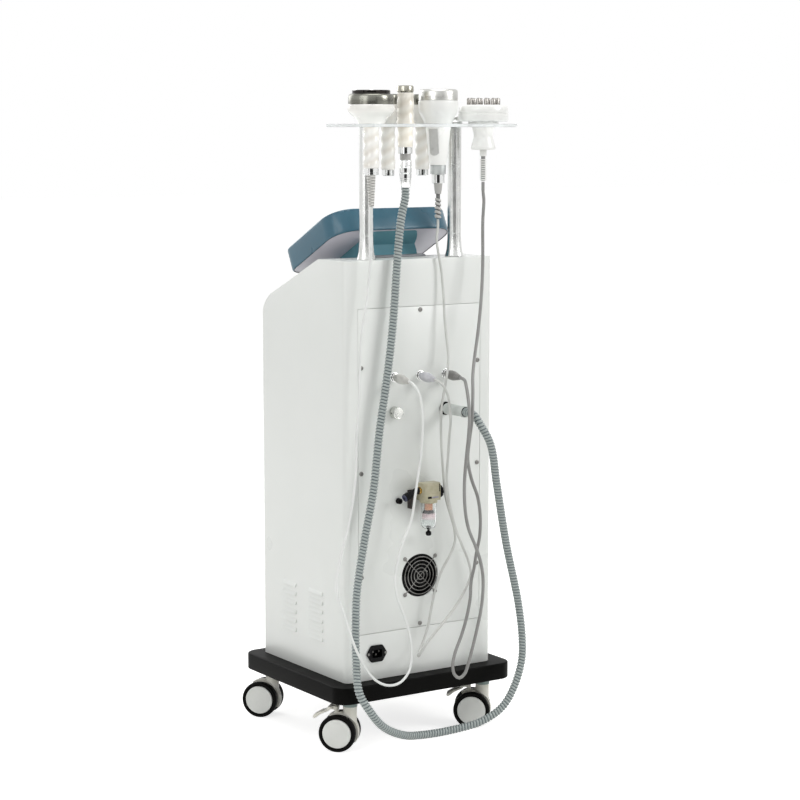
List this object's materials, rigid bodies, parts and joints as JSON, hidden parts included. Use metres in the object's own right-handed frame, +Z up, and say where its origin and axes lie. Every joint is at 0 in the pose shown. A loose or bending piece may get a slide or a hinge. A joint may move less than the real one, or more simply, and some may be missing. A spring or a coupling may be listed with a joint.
{
  "type": "cavitation slimming machine",
  "caption": "Upright body-care machine on castors: louvred cabinet, tilted screen console, clear holder with hanging handpieces, hose and cables plugged into a rear service panel.",
  "frame": {"origin": "on the floor under the middle of the machine without its cords", "axes": "+Z up, +Y towards the rear service panel, +X towards the side that is on the left seen from behind"},
  "size_m": [0.4339, 0.4877, 1.2843],
  "materials": {
    "white_enamel": "satin powder coat",
    "black_plastic": "moulded, low sheen",
    "blue_gloss": "glossy lacquer",
    "screen_glass": "polished cover glass",
    "clear_acrylic": "polished clear sheet",
    "chrome": "polished plating",
    "brushed_metal": "turned and brushed",
    "dark_chrome": "dark anodised, polished",
    "pearl_plastic": "pearl lacquer",
    "ivory_plastic": "moulded",
    "tyre": "moulded tread",
    "beige_metal": "painted die casting",
    "bronze": "sintered",
    "clear_bowl": "clear moulding",
    "grey_plastic": "moulded",
    "hose_grey": "ribbed flexible hose",
    "cable_white": "smooth jacket",
    "cable_grey": "smooth jacket",
    "steel": "cast and pressed housing"
  },
  "bodies": {
    "root": {"base_tray": "black_plastic", "cabinet_shell": "white_enamel", "service_panel": "white_enamel", "fan_frame": "black_plastic", "fan_guard": "chrome", "socket_left": "chrome", "socket_middle": "chrome", "socket_right": "chrome", "plug_left": "grey_plastic", "plug_middle": "grey_plastic", "plug_right": "grey_plastic", "hose_socket": "black_plastic", "hose_cuff": "grey_plastic", "tube_port": "black_plastic", "mains_inlet": "black_plastic", "filter_body": "beige_metal", "filter_bowl": "clear_bowl", "filter_element": "bronze", "filter_plug": "black_plastic", "elbow_fitting": "black_plastic", "filter_bracket": "black_plastic", "vacuum_pump": "steel", "power_supply": "steel", "console_housing": "blue_gloss", "touch_screen": "screen_glass", "console_neck": "blue_gloss", "holder_post_left": "chrome", "holder_post_right": "chrome", "holder_plate": "clear_acrylic", "vacuum_hose": "hose_grey", "large_cable": "cable_white", "cavitation_cable": "cable_white", "multipolar_cable": "cable_grey"},
    "fan": {"fan_rotor": "black_plastic"},
    "vacuum_knob": {"vacuum_knob": "brushed_metal"},
    "drain_knob": {"drain_knob": "black_plastic"},
    "large_vacuum_handpiece": {"large_vacuum_handle": "pearl_plastic", "large_vacuum_electrode": "dark_chrome", "large_strain_relief": "grey_plastic"},
    "medium_handpiece_left": {"medium_head_left": "pearl_plastic"},
    "medium_handpiece_right": {"medium_head_right": "pearl_plastic"},
    "small_vacuum_handpiece": {"small_vacuum_body": "pearl_plastic", "small_vacuum_tip": "brushed_metal", "small_vacuum_coupling": "brushed_metal"},
    "cavitation_handpiece": {"cavitation_handle": "pearl_plastic", "cavitation_cap": "brushed_metal", "cavitation_strain_relief": "grey_plastic"},
    "multipolar_handpiece": {"multipolar_handle": "pearl_plastic", "multipolar_head": "pearl_plastic", "multipolar_strain_relief": "grey_plastic"},
    "castor_rear_left": {"castor_rear_left_housing": "ivory_plastic"},
    "castor_rear_left_wheel_pair": {"castor_rear_left_wheels": "tyre"},
    "castor_rear_left_pedal": {"castor_rear_left_brake": "ivory_plastic"},
    "castor_rear_right": {"castor_rear_right_housing": "ivory_plastic"},
    "castor_rear_right_wheel_pair": {"castor_rear_right_wheels": "tyre"},
    "castor_rear_right_pedal": {"castor_rear_right_brake": "ivory_plastic"},
    "castor_front_left": {"castor_front_left_housing": "ivory_plastic"},
    "castor_front_left_wheel_pair": {"castor_front_left_wheels": "tyre"},
    "castor_front_right": {"castor_front_right_housing": "ivory_plastic"},
    "castor_front_right_wheel_pair": {"castor_front_right_wheels": "tyre"}
  },
  "joints": [
    {"name": "castor_rear_left_swivel", "type": "hinge", "parent": "root", "child": "castor_rear_left", "pos_m": [0.1583, 0.1355, 0.09], "axis": [0, 0, 1], "continuous": true},
    {"name": "castor_rear_left_roll", "type": "hinge", "parent": "castor_rear_left", "child": "castor_rear_left_wheel_pair", "pos_m": [0.17551, 0.11737, 0.03678], "axis": [0.7254, 0.6884, 0], "continuous": true},
    {"name": "castor_rear_left_brake_press", "type": "hinge", "parent": "castor_rear_left", "child": "castor_rear_left_pedal", "pos_m": [0.17964, 0.11301, 0.08378], "axis": [0.7254, 0.6884, 0], "range_deg": [0, 18]},
    {"name": "castor_rear_right_swivel", "type": "hinge", "parent": "root", "child": "castor_rear_right", "pos_m": [-0.1583, 0.1355, 0.09], "axis": [0, 0, 1], "continuous": true},
    {"name": "castor_rear_right_roll", "type": "hinge", "parent": "castor_rear_right", "child": "castor_rear_right_wheel_pair", "pos_m": [-0.13873, 0.11994, 0.03678], "axis": [0.6225, 0.7826, 0], "continuous": true},
    {"name": "castor_rear_right_brake_press", "type": "hinge", "parent": "castor_rear_right", "child": "castor_rear_right_pedal", "pos_m": [-0.13404, 0.1162, 0.08378], "axis": [0.6225, 0.7826, 0], "range_deg": [0, 18]},
    {"name": "castor_front_left_swivel", "type": "hinge", "parent": "root", "child": "castor_front_left", "pos_m": [0.1583, -0.1652, 0.09], "axis": [0, 0, 1], "continuous": true},
    {"name": "castor_front_left_roll", "type": "hinge", "parent": "castor_front_left", "child": "castor_front_left_wheel_pair", "pos_m": [0.17454, -0.18421, 0.03678], "axis": [0.7604, 0.6494, 0], "continuous": true},
    {"name": "castor_front_right_swivel", "type": "hinge", "parent": "root", "child": "castor_front_right", "pos_m": [-0.1583, -0.1652, 0.09], "axis": [0, 0, 1], "continuous": true},
    {"name": "castor_front_right_roll", "type": "hinge", "parent": "castor_front_right", "child": "castor_front_right_wheel_pair", "pos_m": [-0.17551, -0.18333, 0.03678], "axis": [0.7254, -0.6884, 0], "continuous": true},
    {"name": "fan_spin", "type": "hinge", "parent": "root", "child": "fan", "pos_m": [0, 0.12, 0.329], "axis": [0, 1, 0], "continuous": true},
    {"name": "vacuum_knob_turn", "type": "hinge", "parent": "root", "child": "vacuum_knob", "pos_m": [0.06, 0.136, 0.657], "axis": [0, 1, 0], "range_deg": [0, 270]},
    {"name": "drain_knob_turn", "type": "hinge", "parent": "root", "child": "drain_knob", "pos_m": [0, 0.166, 0.42], "axis": [0, 0, 1], "range_deg": [0, 90]},
    {"name": "large_vacuum_lift", "type": "slide", "parent": "root", "child": "large_vacuum_handpiece", "axis": [0, 0, 1], "range_m": [0, 0.16]},
    {"name": "medium_left_lift", "type": "slide", "parent": "root", "child": "medium_handpiece_left", "axis": [0, 0, 1], "range_m": [0, 0.11]},
    {"name": "medium_right_lift", "type": "slide", "parent": "root", "child": "medium_handpiece_right", "axis": [0, 0, 1], "range_m": [0, 0.11]},
    {"name": "small_vacuum_lift", "type": "slide", "parent": "root", "child": "small_vacuum_handpiece", "axis": [0, 0, 1], "range_m": [0, 0.125]},
    {"name": "cavitation_lift", "type": "slide", "parent": "root", "child": "cavitation_handpiece", "axis": [0, 0, 1], "range_m": [0, 0.19]},
    {"name": "multipolar_lift", "type": "slide", "parent": "root", "child": "multipolar_handpiece", "axis": [0, 0, 1], "range_m": [0, 0.12]}
  ]
}
